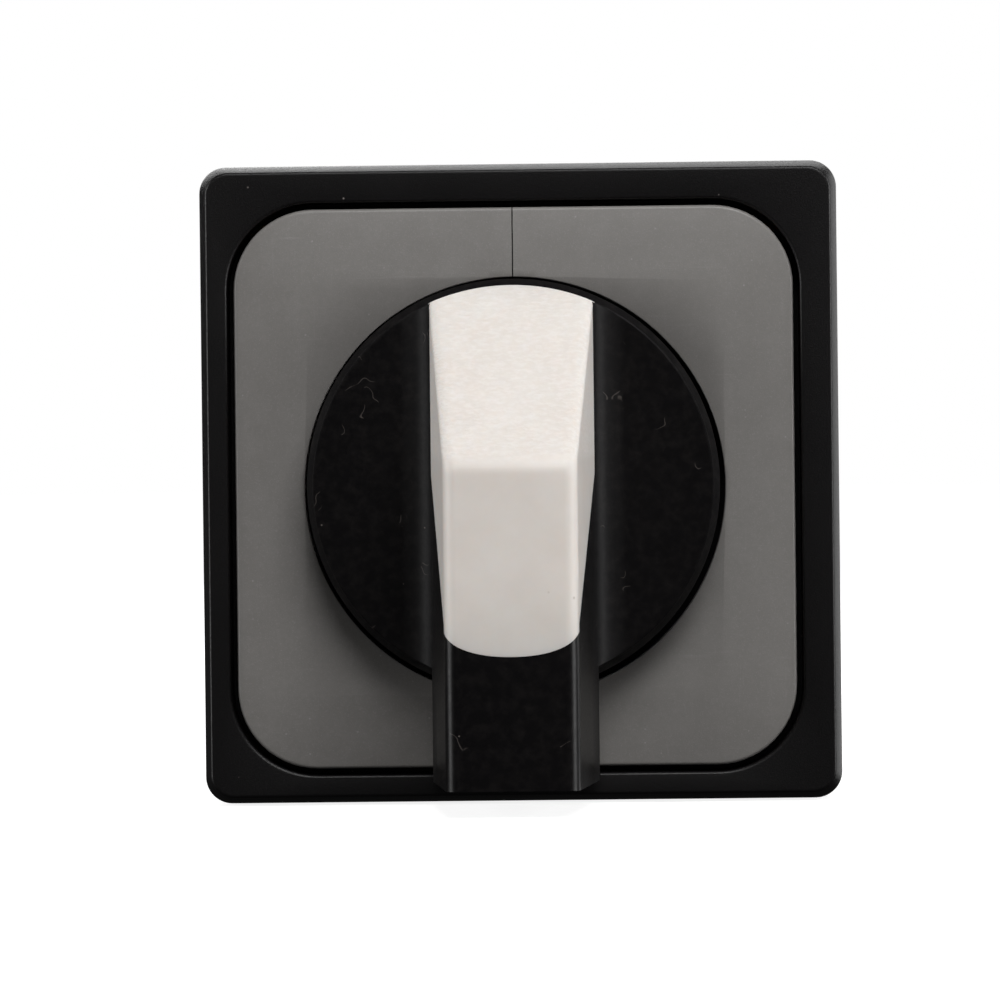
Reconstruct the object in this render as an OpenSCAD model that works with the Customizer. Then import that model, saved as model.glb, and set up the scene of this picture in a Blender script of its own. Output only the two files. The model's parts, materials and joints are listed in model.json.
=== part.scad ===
// Manual changeover (transfer) switch: a panel-mounted rotary cam switch with three stages.
// The shaft runs along Y. X is to the right and Z up, seen from the front, and the origin is
// on the shaft's axis in the plane of the panel's front. Positions 1 - 0 - 2 are 60 degrees apart.

/* [Front] */
// Width and height of the square front
front_size = 48; // [46:0.5:60]
// How far the bezel stands out from the panel
front_depth = 8; // [7.5:0.5:12]
// How far the bezel's outside sits to the right of the shaft's axis
front_shift_x = 0.45; // [0:0.05:0.5]
// How far the bezel's outside sits above the shaft's axis
front_shift_z = 0.2; // [0:0.05:0.5]
// How far the grey plate and its recess sit to the right of the shaft's axis
plate_shift_x = 0.05; // [-0.2:0.05:0.2]
// How far the grey plate and its recess sit above the shaft's axis
plate_shift_z = -0.15; // [-0.2:0.05:0.2]
// Radius of the bezel's corners
front_corner_r = 2; // [1:0.5:3]
// Width of the bezel's rim beside the plate's recess
rim_w = 2.45; // [1.6:0.05:3]
// Gap all round the front plate
plate_gap = 0.5; // [0.3:0.1:0.8]
// Radius of the front plate's corners
plate_corner_r = 5.2; // [3:0.1:7]
// Thickness of the front plate
plate_t = 1.6; // [1.2:0.1:2.4]
// Thickness of the bezel's floor, which the fixing screws clamp
floor_t = 2.8; // [2:0.1:3.5]
// Thickness of the panel gasket
gasket_t = 1.2; // [0.8:0.1:1.5]
// Thickness of the panel that the switch clamps
panel_gap = 3; // [1:0.5:6]
// Distance between the fixing holes, both ways
hole_spacing = 36; // [34:0.5:37]
// Diameter of the fixing holes through the bezel and the gasket
fixing_hole_d = 4.2; // [3.4:0.1:4.4]

/* [Knob] */
// Diameter of the knob's disc
disc_d = 30.8; // [24:0.2:34]
// How far the disc's face stands out from the front plate
disc_rise = 4.5; // [2:0.5:7]
// Height of the handle above the disc's face
handle_h = 14.3; // [10:0.1:20]
// Width of the handle at the disc
handle_base_w = 12.4; // [11:0.1:15]
// Width of the handle's ridge
handle_ridge_w = 9.6; // [8:0.1:10.5]
// How far the handle's tail reaches from the shaft's axis
tail_reach = 22; // [17:0.5:23]
// Height of the handle's crest above the shaft's axis
crest_z = 1.8; // [0:0.1:4]
// How far the pointer insert's tongue reaches below the shaft's axis
tongue_reach = 12.3; // [10.8:0.1:14]
// Wall of the knob's hub round the shaft's corners
hub_wall = 2.2; // [2:0.1:3]

/* [Switching] */
// Travel of a contact carrier from the middle to an end position
contact_travel = 1.3; // [1:0.02:1.56]
// Distance from one switching stage to the next
stage_pitch = 11; // [10.5:0.5:14]
// Width across the flats of the square drive shaft
shaft_w = 6; // [5:0.1:7.2]
// Radius of the cams at the middle position
cam_r = 7; // [6.8:0.1:7.2]

/* [Body] */
// Width of the switching stages
body_w = 44; // [43:0.5:54]
// Height of the switching stages
body_h = 44; // [43:0.5:54]
// Width and height of the latch housing
latch_size = 45; // [43:0.5:54]
// Depth of the latch housing
latch_depth = 12; // [11.5:0.5:16]
// Thickness of the rear cover
rear_t = 3.5; // [3.2:0.1:6]
// Diameter of the tie screws' shanks
tie_d = 3; // [2.5:0.1:3.2]
// Diameter of the terminal screws' shanks
terminal_d = 3.5; // [3:0.1:3.6]

/* [Hidden] */
$fn = 64;
overcut = 1;
seat_clear = 0.02;
run_clear = 0.05;
square_clear = 0.05;
shaft_corner_r = (shaft_w / 2 + square_clear) * sqrt(2);
hub_r = shaft_corner_r + hub_wall;

// Levels along Y: negative is in front of the panel
rear_rim_y = -0.3;
floor_back_y = -gasket_t;
floor_y = -gasket_t - floor_t;
bezel_front_y = -front_depth;
plate_proud = 0.2;
plate_y = bezel_front_y - plate_proud;
disc_y = plate_y - disc_rise;
ridge_y = disc_y - handle_h;
disc_lift = 0.6;
disc_back_y = floor_y - disc_lift;
tail_lift = 1.2;
tail_y = plate_y - tail_lift;

// Front
edge_chamfer_w = 0.6;
recess_size = front_size - 2 * rim_w;
recess_corner_r = plate_corner_r + plate_gap;
plate_size = recess_size - 2 * plate_gap;
plate_bevel_w = 5.2;
plate_bevel_drop = 0.5;
plate_skirt_t = 1.2;
plate_skirt_l = 20;
plate_skirt_inset = 0.6;
opening_gap = 0.4;
opening_r = disc_d / 2 + opening_gap;
seam_w = 0.12;
gasket_inset = 1;
pocket_gap = 0.1;
spigot_depth = 2;
spigot_wall = 2.45;
bearing_r = hub_r + run_clear;
spigot_r = bearing_r + spigot_wall;
spigot_end_y = panel_gap + spigot_depth;

// Knob
disc_chamfer = 0.5;
rim_r = disc_d / 2 - disc_chamfer;
hub_end_y = panel_gap - 0.5;
tongue_t = 1.2;
tongue_depth = 2.3;
tongue_power = 2.2;
tongue_steps = 16;
tongue_spread = 0.2;
tongue_half_w = handle_ridge_w / 2 + tongue_spread;
insert_foot_z = 2;
insert_top_z = tongue_depth - tongue_reach;
screw_web = 2;
screw_d = 3;
screw_head_d = 5.6;
screw_head_h = 2.2;
screw_length = 12;
bore_gap = 0.2;
shaft_front_y = disc_back_y - 1.4;
screw_seat_y = shaft_front_y - screw_web;
seal_section_d = 1.5;
seal_y = -0.6;
seal_groove_w = 1.9;

// Latch
turn_angle = 60;
latch_front_y = panel_gap;
latch_back_y = latch_front_y + latch_depth;
latch_corner_r = 3;
latch_wall = 2.5;
latch_cavity_r = 15.5;
latch_cavity_y = latch_front_y + latch_wall;
shaft_hole_gap = 0.4;
shaft_hole_r = shaft_corner_r + shaft_hole_gap;
insert_bore_d = 3.3;
insert_d = 4.8;
insert_length = 8;
washer_t = 0.5;
washer_r = 8;
wheel_gap = 0.1;
wheel_y = latch_cavity_y + washer_t + wheel_gap;
wheel_t = 4;
wheel_r = 9;
notch_r = 1.6;
notch_centre_r = 9.6;
notch_step = 60;
leaf_x = 11;
leaf_t = 0.5;
leaf_half_l = 10;
leaf_nose_r = 1.4;
leaf_rib_l = 2;
leaf_edge_gap = 0.1;
leaf_nose_gap = 0.1;
lug_half_angle = 10;
lug_r = 8;
lug_gap = 1;
stop_gap = 0.4;
stop_y = wheel_y + wheel_t + stop_gap;
stop_slack_angle = 0.5;
stop_inner_r = 8.4;
stop_sector_gap = 0.5;
stop_tab_w = 4;
stop_tab_reach = 1.5;
cover_t = 1.5;

// Stages
stages_y = latch_back_y + cover_t;
stage_count = 3;
stage_floor = 1.5;
body_corner_r = 1;
side_wall = 1.2;
chamber_half_h = 10.5;
cam_hub_wall = 0.4;
cam_hub_r = shaft_corner_r + cam_hub_wall;
cam_bore_gap = 0.08;
cam_bore_r = cam_hub_r + cam_bore_gap;
cam_plate_t = 6;
contact_y = stage_floor + (stage_pitch - stage_floor) / 2;
nose_r = 1.5;
pitch_r = cam_r + nose_r + run_clear;
travel_per_degree = contact_travel / turn_angle;
flank_half = 65;
flank_ease = 90 - flank_half;
carrier_half_h = 2.5;
carrier_end_x = pitch_r + 5.95;
guide_x = 9.3;
guide_l = 1.4;
guide_t = 1.5;
stem_r = 1.2;
stem_l = 3.5;
bridge_t = 1;
bridge_w = 5;
bridge_half_l = 9;
rivet_z = 7;
rivet_r = 1.5;
rivet_t = 0.6;
closed_gap = 0.05;
spring_wire_r = 0.25;
spring_r = 2;
spring_turns = 4;
spring_x = carrier_end_x + bridge_t;
spring_end_x = body_w / 2 - side_wall;

// Terminals
pocket_x = 8.5;
pocket_z = 13;
pocket_roof = 2.5;
strip_t = 1;
strip_w = 5;
strip_x = carrier_end_x - 2 * rivet_t - contact_travel - closed_gap - strip_t;
strip_foot_z = 5.2;
strip_end_x = strip_x + 6.7;
terminal_x = strip_x + 3.45;
clamp_w = 6;
clamp_t = 1.2;
clamp_z = pocket_z + strip_t + 2.2;
terminal_head_d = 5.6;
terminal_head_h = 1.8;
driver_hole_r = 3.1;
terminal_tip_z = pocket_z - 1.7;
slot_w = 0.8;
slot_depth = 0.8;

// Rear
tie_x = 5;
tie_z = 17;
tie_hole_gap = 0.1;
tie_hole_r = tie_d / 2 + tie_hole_gap;
tie_head_r = 2.7;
tie_head_h = 2;
tie_tip_y = latch_back_y - 6;
rear_y = stages_y + stage_count * stage_pitch;
journal_step = 0.5;
journal_r = shaft_w / 2 - journal_step;
journal_l = 2.8;

SIDES = ["left", "right"];
STAGES = [for (n = [1 : stage_count]) str("stage_", n)];
STAGE_PARTS = ["housing", "cam", "contacts", "clamps", "terminal_screws"];
STAGE_SIDE_PARTS = ["plunger", "bridge", "spring"];

// ---- Helpers ----

// The outline of a square with rounded corners, as points round its centre
function rounded_points(w, h, r, steps = 6) = [
    for (corner = [0 : 3], i = [0 : steps])
        let (
            a = 90 * corner + 90 * i / steps,
            cx = (corner == 0 || corner == 3 ? 1 : -1) * (w / 2 - r),
            cz = (corner < 2 ? 1 : -1) * (h / 2 - r)
        )
        [cx + r * cos(a), cz + r * sin(a)]
];

// Extrudes an outline drawn in X and Z from one level along Y to another
module slab(from_y, to_y) {
    translate([0, to_y, 0])
        rotate([90, 0, 0])
            linear_extrude(to_y - from_y)
                children();
}

// A cylinder along Y
module rod(r, from_y, to_y, x = 0, z = 0) {
    translate([x, to_y, z])
        rotate([90, 0, 0])
            cylinder(r = r, h = to_y - from_y);
}

// A cylinder along X
module cross_rod(r, from_x, to_x, y = 0, z = 0) {
    translate([from_x, y, z])
        rotate([0, 90, 0])
            cylinder(r = r, h = to_x - from_x);
}

// A box between two corners
module block(low, high) {
    translate(low)
        cube(high - low);
}

// The children in each quadrant of the X-Z plane
module four_corners() {
    for (mx = [0, 1], mz = [0, 1])
        mirror([mx, 0, 0])
            mirror([0, 0, mz])
                children();
}

// The children as they stand on the right, or mirrored for the left
module on_side(side) {
    mirror([side == "left" ? 1 : 0, 0, 0])
        children();
}

// What a bevel takes off the four edges of a square face, "run" across and "drop" back
module edge_bevels(size, face_y, run, drop) {
    lift = overcut * drop / run;
    for (turn = [0 : 90 : 270])
        rotate([0, turn, 0])
            translate([0, 0, -size])
                linear_extrude(2 * size)
                    polygon([
                        [size / 2 - run, face_y],
                        [size / 2 + overcut, face_y + drop + lift],
                        [size / 2 + overcut, face_y - overcut],
                        [size / 2 - run, face_y - overcut]
                    ]);
}

// ---- Front ----

module bezel() {
    color([0.10, 0.09, 0.095])
    difference() {
        union() {
            translate([front_shift_x, 0, front_shift_z])
                slab(bezel_front_y, rear_rim_y)
                    polygon(rounded_points(front_size, front_size, front_corner_r));
            rod(spigot_r, floor_y, spigot_end_y);
        }
        translate([front_shift_x, 0, front_shift_z])
            edge_bevels(front_size, bezel_front_y, edge_chamfer_w, edge_chamfer_w);
        translate([plate_shift_x, 0, plate_shift_z])
            slab(bezel_front_y - overcut, floor_y)
                polygon(rounded_points(recess_size, recess_size, recess_corner_r));
        difference() {
            slab(floor_back_y, rear_rim_y + overcut)
                square(front_size - 2 * gasket_inset, center = true);
            rod(spigot_r, floor_back_y - overcut, spigot_end_y);
        }
        rod(bearing_r, floor_y - overcut, spigot_end_y + overcut);
        four_corners()
            rod(
                fixing_hole_d / 2,
                floor_y - overcut,
                floor_back_y + overcut,
                hole_spacing / 2,
                hole_spacing / 2
            );
    }
}

module front_plate() {
    skirt_out = plate_size / 2 - plate_skirt_inset;
    color([0.44, 0.42, 0.41])
    translate([plate_shift_x, 0, plate_shift_z])
        difference() {
            union() {
                slab(plate_y, plate_y + plate_t)
                    polygon(rounded_points(plate_size, plate_size, plate_corner_r));
                for (turn = [0 : 90 : 270])
                    rotate([0, turn, 0])
                        block(
                            [skirt_out - plate_skirt_t, plate_y + plate_t / 2, -plate_skirt_l / 2],
                            [skirt_out, floor_y, plate_skirt_l / 2]
                        );
            }
            edge_bevels(plate_size, plate_y, plate_bevel_w, plate_bevel_drop);
            rod(opening_r, plate_y - overcut, floor_y + overcut);
            block(
                [-seam_w / 2, plate_y - overcut, 0],
                [seam_w / 2, floor_y + overcut, front_size]
            );
        }
}

module panel_gasket() {
    gasket_size = front_size - 2 * gasket_inset - 2 * pocket_gap;
    color([0.13, 0.13, 0.14])
    difference() {
        slab(floor_back_y, 0)
            square(gasket_size, center = true);
        rod(spigot_r + bore_gap, floor_back_y - overcut, overcut);
        four_corners()
            rod(
                fixing_hole_d / 2,
                floor_back_y - overcut,
                overcut,
                hole_spacing / 2,
                hole_spacing / 2
            );
    }
}

// ---- Knob ----

// The whole handle, black and white together: a tapered bar, seen from the side a wedge
// from the disc's rim up to the crest and then level to the tail
module handle_form() {
    side_slope = (handle_base_w - handle_ridge_w) / 2 / handle_h;
    tail_half_w = handle_base_w / 2 + side_slope * (tail_y - disc_y);
    front_half_w = handle_ridge_w / 2;
    rim_step = 0.3;
    intersection() {
        translate([0, 0, -tail_reach - overcut])
            linear_extrude(tail_reach + disc_d)
                polygon([
                    [-tail_half_w, tail_y],
                    [tail_half_w, tail_y],
                    [front_half_w, ridge_y],
                    [-front_half_w, ridge_y]
                ]);
        translate([-handle_base_w, 0, 0])
            rotate([90, 0, 90])
                linear_extrude(2 * handle_base_w)
                    polygon([
                        [tail_y, rim_r],
                        [disc_y - rim_step, rim_r],
                        [ridge_y, crest_z],
                        [ridge_y, -tail_reach],
                        [tail_y, -tail_reach + 0.2]
                    ]);
        union() {
            rod(rim_r, ridge_y - overcut, tail_y + overcut);
            block(
                [-handle_base_w, ridge_y - overcut, -tail_reach - overcut],
                [handle_base_w, tail_y + overcut, 0]
            );
        }
    }
}

// The lower end of the insert's tongue, seen from the front, as half of a rounded ellipse
function tongue_points() = [
    for (i = [0 : tongue_steps])
        let (
            across = cos(180 * i / tongue_steps),
            drop = pow(max(0, 1 - pow(abs(across), tongue_power)), 1 / tongue_power)
        )
        [across * tongue_half_w, insert_top_z - tongue_depth * drop]
];

// The part of the handle that the white insert takes up
module insert_zone() {
    translate([-handle_base_w, 0, 0])
        rotate([90, 0, 90])
            linear_extrude(2 * handle_base_w)
                polygon([
                    [disc_y, disc_d],
                    [disc_y, insert_foot_z],
                    [ridge_y + tongue_t, insert_top_z],
                    [ridge_y - overcut, insert_top_z],
                    [ridge_y - overcut, disc_d]
                ]);
    slab(ridge_y - overcut, ridge_y + tongue_t)
        polygon(concat(tongue_points(), [[-tongue_half_w, 0], [tongue_half_w, 0]]));
}

module knob_body() {
    color([0.06, 0.055, 0.06])
    difference() {
        union() {
            translate([0, disc_back_y, 0])
                rotate([90, 0, 0])
                    rotate_extrude()
                        polygon([
                            [0, 0],
                            [disc_d / 2, 0],
                            [disc_d / 2, disc_back_y - disc_y - disc_chamfer],
                            [rim_r, disc_back_y - disc_y],
                            [0, disc_back_y - disc_y]
                        ]);
            handle_form();
            rod(hub_r, disc_back_y - overcut, hub_end_y);
        }
        insert_zone();
        rod(screw_head_d / 2 + bore_gap, ridge_y, screw_seat_y);
        rod(screw_d / 2 + bore_gap, screw_seat_y - overcut, hub_end_y);
        block(
            [-shaft_w / 2 - square_clear, shaft_front_y, -shaft_w / 2 - square_clear],
            [shaft_w / 2 + square_clear, hub_end_y + overcut, shaft_w / 2 + square_clear]
        );
        difference() {
            rod(hub_r + overcut, seal_y - seal_groove_w / 2, seal_y + seal_groove_w / 2);
            rod(
                hub_r - seal_section_d,
                seal_y - seal_groove_w / 2 - overcut,
                seal_y + seal_groove_w / 2 + overcut
            );
        }
    }
}

module pointer_insert() {
    color([0.88, 0.86, 0.84])
    intersection() {
        handle_form();
        insert_zone();
    }
}

module knob_screw() {
    color("silver")
    difference() {
        union() {
            rod(screw_head_d / 2, screw_seat_y - screw_head_h, screw_seat_y);
            rod(screw_d / 2, screw_seat_y - overcut, screw_seat_y + screw_length);
        }
        for (turn = [0, 90])
            rotate([0, turn, 0])
                block(
                    [-screw_head_d / 3, screw_seat_y - screw_head_h - overcut, -slot_w / 2],
                    [screw_head_d / 3, screw_seat_y - screw_head_h + slot_depth, slot_w / 2]
                );
    }
}

module shaft_seal() {
    color([0.2, 0.2, 0.21])
    translate([0, seal_y, 0])
        rotate([90, 0, 0])
            rotate_extrude()
                translate([hub_r - seal_section_d / 2, 0])
                    circle(d = seal_section_d);
}

module drive_shaft() {
    color("silver")
    difference() {
        union() {
            block(
                [-shaft_w / 2, shaft_front_y, -shaft_w / 2],
                [shaft_w / 2, rear_y - 0.1, shaft_w / 2]
            );
            rod(journal_r, rear_y - overcut, rear_y + journal_l);
        }
        rod(
            screw_d / 2 + seat_clear,
            shaft_front_y - overcut,
            screw_seat_y + screw_length + overcut
        );
    }
}

// ---- Latch ----

module latch_housing() {
    color([0.24, 0.24, 0.25])
    difference() {
        slab(latch_front_y, latch_back_y)
            polygon(rounded_points(latch_size, latch_size, latch_corner_r));
        rod(spigot_r + seat_clear, latch_front_y - overcut, spigot_end_y);
        rod(shaft_hole_r, latch_front_y, latch_back_y);
        difference() {
            rod(latch_cavity_r, latch_cavity_y, latch_back_y + overcut);
            four_corners()
                block(
                    [leaf_x + leaf_t, latch_cavity_y - overcut, leaf_half_l - leaf_rib_l],
                    [latch_cavity_r, stop_y, leaf_half_l]
                );
        }
        block(
            [
                -latch_cavity_r - stop_tab_reach - seat_clear,
                stop_y,
                -stop_tab_w / 2 - seat_clear
            ],
            [
                latch_cavity_r + stop_tab_reach + seat_clear,
                latch_back_y + overcut,
                stop_tab_w / 2 + seat_clear
            ]
        );
        four_corners() {
            rod(
                insert_d / 2,
                latch_front_y - overcut,
                latch_front_y + insert_length,
                hole_spacing / 2,
                hole_spacing / 2
            );
            rod(tie_d / 2 + seat_clear, tie_tip_y - overcut, latch_back_y + overcut, tie_x, tie_z);
        }
    }
}

module threaded_inserts() {
    color([0.78, 0.62, 0.30])
    four_corners()
        difference() {
            rod(
                insert_d / 2,
                latch_front_y,
                latch_front_y + insert_length,
                hole_spacing / 2,
                hole_spacing / 2
            );
            rod(
                insert_bore_d / 2,
                latch_front_y - overcut,
                latch_front_y + insert_length + overcut,
                hole_spacing / 2,
                hole_spacing / 2
            );
        }
}

module thrust_washer() {
    color("silver")
    difference() {
        rod(washer_r, latch_cavity_y, latch_cavity_y + washer_t);
        rod(shaft_hole_r, latch_cavity_y - overcut, latch_cavity_y + overcut);
    }
}

// The part of a ring between two angles, measured clockwise from the top, along Y
module ring_sector(inner_r, outer_r, half_angle, from_y, to_y) {
    reach = 2 * outer_r;
    difference() {
        slab(from_y, to_y)
            intersection() {
                circle(r = outer_r);
                polygon([
                    [0, 0],
                    [reach * sin(half_angle), reach * cos(half_angle)],
                    [reach, reach],
                    [-reach, reach],
                    [-reach * sin(half_angle), reach * cos(half_angle)]
                ]);
            }
        rod(inner_r, from_y - overcut, to_y + overcut);
    }
}

module shaft_square(from_y, to_y) {
    half = shaft_w / 2 + square_clear;
    block([-half, from_y, -half], [half, to_y, half]);
}

module detent_wheel() {
    color([0.85, 0.84, 0.80])
    difference() {
        union() {
            rod(wheel_r, wheel_y, wheel_y + wheel_t);
            rod(cam_hub_r, wheel_y, stages_y);
            slab(wheel_y + wheel_t - overcut, latch_back_y - lug_gap)
                polygon([
                    [0, 0],
                    [-lug_r * sin(lug_half_angle), lug_r * cos(lug_half_angle)],
                    [lug_r * sin(lug_half_angle), lug_r * cos(lug_half_angle)]
                ]);
        }
        for (a = [0 : notch_step : 359])
            rod(
                notch_r,
                wheel_y - overcut,
                wheel_y + wheel_t + overcut,
                notch_centre_r * cos(a),
                notch_centre_r * sin(a)
            );
        shaft_square(wheel_y - overcut, stages_y + overcut);
    }
}

// A leaf spring whose rounded nose sits in the wheel's notch
module detent_spring(side) {
    color([0.75, 0.76, 0.78])
    on_side(side)
        union() {
            block(
                [leaf_x, wheel_y + leaf_edge_gap, -leaf_half_l],
                [leaf_x + leaf_t, wheel_y + wheel_t - leaf_edge_gap, leaf_half_l]
            );
            intersection() {
                rod(
                    leaf_nose_r,
                    wheel_y + leaf_edge_gap,
                    wheel_y + wheel_t - leaf_edge_gap,
                    notch_centre_r + leaf_nose_gap
                );
                block(
                    [0, wheel_y, -leaf_nose_r],
                    [leaf_x + leaf_t, wheel_y + wheel_t, leaf_nose_r]
                );
            }
        }
}

module stop_plate() {
    stop_angle = turn_angle + lug_half_angle + stop_slack_angle;
    stop_sector_r = cam_hub_r + stop_sector_gap;
    plate_r = latch_cavity_r - seat_clear;
    color([0.72, 0.73, 0.75])
    difference() {
        union() {
            rod(plate_r, stop_y, latch_back_y);
            block(
                [-latch_cavity_r - stop_tab_reach, stop_y, -stop_tab_w / 2],
                [latch_cavity_r + stop_tab_reach, latch_back_y, stop_tab_w / 2]
            );
        }
        rod(stop_sector_r, stop_y - overcut, latch_back_y + overcut);
        ring_sector(
            stop_sector_r - overcut,
            stop_inner_r,
            stop_angle,
            stop_y - overcut,
            latch_back_y + overcut
        );
    }
}

module latch_cover() {
    color([0.24, 0.24, 0.25])
    difference() {
        slab(latch_back_y, stages_y)
            polygon(rounded_points(latch_size, latch_size, latch_corner_r));
        rod(cam_bore_r, latch_back_y - overcut, stages_y + overcut);
        four_corners()
            rod(tie_hole_r, latch_back_y - overcut, stages_y + overcut, tie_x, tie_z);
    }
}

// ---- Stages ----

function stage_y(n) = stages_y + (n - 1) * stage_pitch;

module stage_housing(n) {
    y0 = stage_y(n);
    y1 = y0 + stage_pitch;
    mid_y = y0 + contact_y;
    color([0.30, 0.30, 0.31])
    difference() {
        slab(y0, y1)
            polygon(rounded_points(body_w, body_h, body_corner_r, 3));
        rod(cam_bore_r, y0 - overcut, y1);
        difference() {
            block(
                [-spring_end_x, y0 + stage_floor, -chamber_half_h],
                [spring_end_x, y1 + overcut, chamber_half_h]
            );
            four_corners()
                block(
                    [guide_x, y0 + stage_floor - overcut, carrier_half_h + run_clear],
                    [guide_x + guide_l, y1, carrier_half_h + run_clear + guide_t]
                );
        }
        four_corners() {
            rod(tie_hole_r, y0 - overcut, y1 + overcut, tie_x, tie_z);
            block(
                [pocket_x, y0 + stage_floor, pocket_z],
                [body_w / 2 + overcut, y1 + overcut, body_h / 2 - pocket_roof]
            );
            block(
                [strip_x - seat_clear, mid_y - strip_w / 2 - seat_clear, chamber_half_h - overcut],
                [strip_x + strip_t + seat_clear, y1 + overcut, pocket_z + overcut]
            );
            translate([terminal_x, mid_y, terminal_tip_z - 0.1])
                cylinder(d = terminal_d + 0.2, h = body_h);
            translate([terminal_x, mid_y, body_h / 2 - pocket_roof - overcut])
                cylinder(r = driver_hole_r, h = pocket_roof + 2 * overcut);
        }
    }
}

// How far the pitch curve has risen at an angle above the follower's line: straight over
// the turn of the switch, then eased out towards the top and the bottom of the cam
function flank(a) =
    let (over = max(0, abs(a) - flank_half))
    a - sign(a) * over * over / (2 * flank_ease);
function flank_slope(a) = 1 - max(0, abs(a) - flank_half) / flank_ease;

// A point of the cam's edge: the pitch curve moved in by the follower's nose
function cam_point(a) =
    let (
        s = pitch_r + travel_per_degree * flank(a),
        rise = travel_per_degree * flank_slope(a) * 180 / PI,
        norm = sqrt(s * s + rise * rise),
        offset_r = nose_r + run_clear
    )
    [
        s * cos(a) - offset_r * (s * cos(a) + rise * sin(a)) / norm,
        s * sin(a) - offset_r * (s * sin(a) - rise * cos(a)) / norm
    ];

module stage_cam(n) {
    y0 = stage_y(n);
    mid_y = y0 + contact_y;
    right_edge = [for (a = [-90 : 5 : 90]) cam_point(a)];
    left_edge = [for (a = [85 : -5 : -85]) [-cam_point(a)[0], cam_point(a)[1]]];
    color([0.90, 0.88, 0.80])
    difference() {
        union() {
            slab(mid_y - cam_plate_t / 2, mid_y + cam_plate_t / 2)
                polygon(concat(right_edge, left_edge));
            rod(cam_hub_r, y0, y0 + stage_pitch);
        }
        shaft_square(y0 - overcut, y0 + stage_pitch + overcut);
    }
}

module plunger(n, side) {
    y0 = stage_y(n);
    mid_y = y0 + contact_y;
    color([0.86, 0.84, 0.76])
    on_side(side)
        union() {
            rod(nose_r, mid_y - cam_plate_t / 2, mid_y + cam_plate_t / 2, pitch_r);
            block(
                [pitch_r, y0 + stage_floor + run_clear, -carrier_half_h],
                [carrier_end_x, y0 + stage_pitch - run_clear, carrier_half_h]
            );
            cross_rod(stem_r, carrier_end_x - overcut, carrier_end_x + stem_l, mid_y);
        }
}

module bridge(n, side) {
    mid_y = stage_y(n) + contact_y;
    color([0.78, 0.48, 0.30])
    on_side(side)
        difference() {
            union() {
                block(
                    [carrier_end_x, mid_y - bridge_w / 2, -bridge_half_l],
                    [carrier_end_x + bridge_t, mid_y + bridge_w / 2, bridge_half_l]
                );
                for (z = [-rivet_z, rivet_z])
                    cross_rod(
                        rivet_r,
                        carrier_end_x - rivet_t,
                        carrier_end_x + bridge_t / 2,
                        mid_y,
                        z
                    );
            }
            cross_rod(
                stem_r + seat_clear,
                carrier_end_x - overcut,
                carrier_end_x + bridge_t + overcut,
                mid_y
            );
        }
}

// A compression spring: a wire with a few sides, swept along a helix about X
module contact_spring(n, side) {
    mid_y = stage_y(n) + contact_y;
    sides = 5;
    per_turn = 12;
    rings = spring_turns * per_turn;
    end_clear = 0.01;
    start = spring_x + spring_wire_r + end_clear;
    rise = (spring_end_x - spring_wire_r - end_clear - start) / rings;
    points = [
        for (i = [0 : rings], k = [0 : sides - 1])
            let (
                a = 360 * i / per_turn,
                b = 360 * k / sides,
                r = spring_r + spring_wire_r * cos(b)
            )
            [start + rise * i + spring_wire_r * sin(b), mid_y + r * cos(a), r * sin(a)]
    ];
    skin = [
        for (i = [0 : rings - 1], k = [0 : sides - 1])
            let (
                a = i * sides + k,
                b = i * sides + (k + 1) % sides
            )
            each [[a, a + sides, b], [b, a + sides, b + sides]]
    ];
    first_cap = [for (k = [0 : sides - 1]) k];
    last_cap = [for (k = [sides - 1 : -1 : 0]) rings * sides + k];
    color([0.75, 0.76, 0.78])
    on_side(side)
        polyhedron(points, concat(skin, [first_cap], [last_cap]));
}

module stage_contacts(n) {
    mid_y = stage_y(n) + contact_y;
    color([0.80, 0.52, 0.32])
    four_corners()
        difference() {
            union() {
                block(
                    [strip_x, mid_y - strip_w / 2, strip_foot_z],
                    [strip_x + strip_t, mid_y + strip_w / 2, pocket_z + strip_t]
                );
                block(
                    [strip_x, mid_y - strip_w / 2, pocket_z],
                    [strip_end_x, mid_y + strip_w / 2, pocket_z + strip_t]
                );
                cross_rod(rivet_r, strip_x + strip_t / 2, strip_x + strip_t + rivet_t, mid_y, rivet_z);
            }
            translate([terminal_x, mid_y, pocket_z - overcut])
                cylinder(d = terminal_d + 2 * seat_clear, h = strip_t + 2 * overcut);
        }
}

module stage_clamps(n) {
    mid_y = stage_y(n) + contact_y;
    color([0.80, 0.80, 0.78])
    four_corners()
        difference() {
            block(
                [terminal_x - clamp_w / 2, mid_y - clamp_w / 2, clamp_z],
                [terminal_x + clamp_w / 2, mid_y + clamp_w / 2, clamp_z + clamp_t]
            );
            translate([terminal_x, mid_y, clamp_z - overcut])
                cylinder(d = terminal_d + 2 * seat_clear, h = clamp_t + 2 * overcut);
        }
}

module stage_terminal_screws(n) {
    mid_y = stage_y(n) + contact_y;
    head_z = clamp_z + clamp_t;
    color([0.82, 0.82, 0.80])
    four_corners()
        translate([terminal_x, mid_y, 0])
            difference() {
                union() {
                    translate([0, 0, terminal_tip_z])
                        cylinder(d = terminal_d, h = head_z - terminal_tip_z + overcut);
                    translate([0, 0, head_z])
                        cylinder(d = terminal_head_d, h = terminal_head_h);
                }
                block(
                    [-terminal_head_d, -slot_w / 2, head_z + terminal_head_h - slot_depth],
                    [terminal_head_d, slot_w / 2, head_z + terminal_head_h + overcut]
                );
            }
}

// ---- Rear ----

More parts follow.
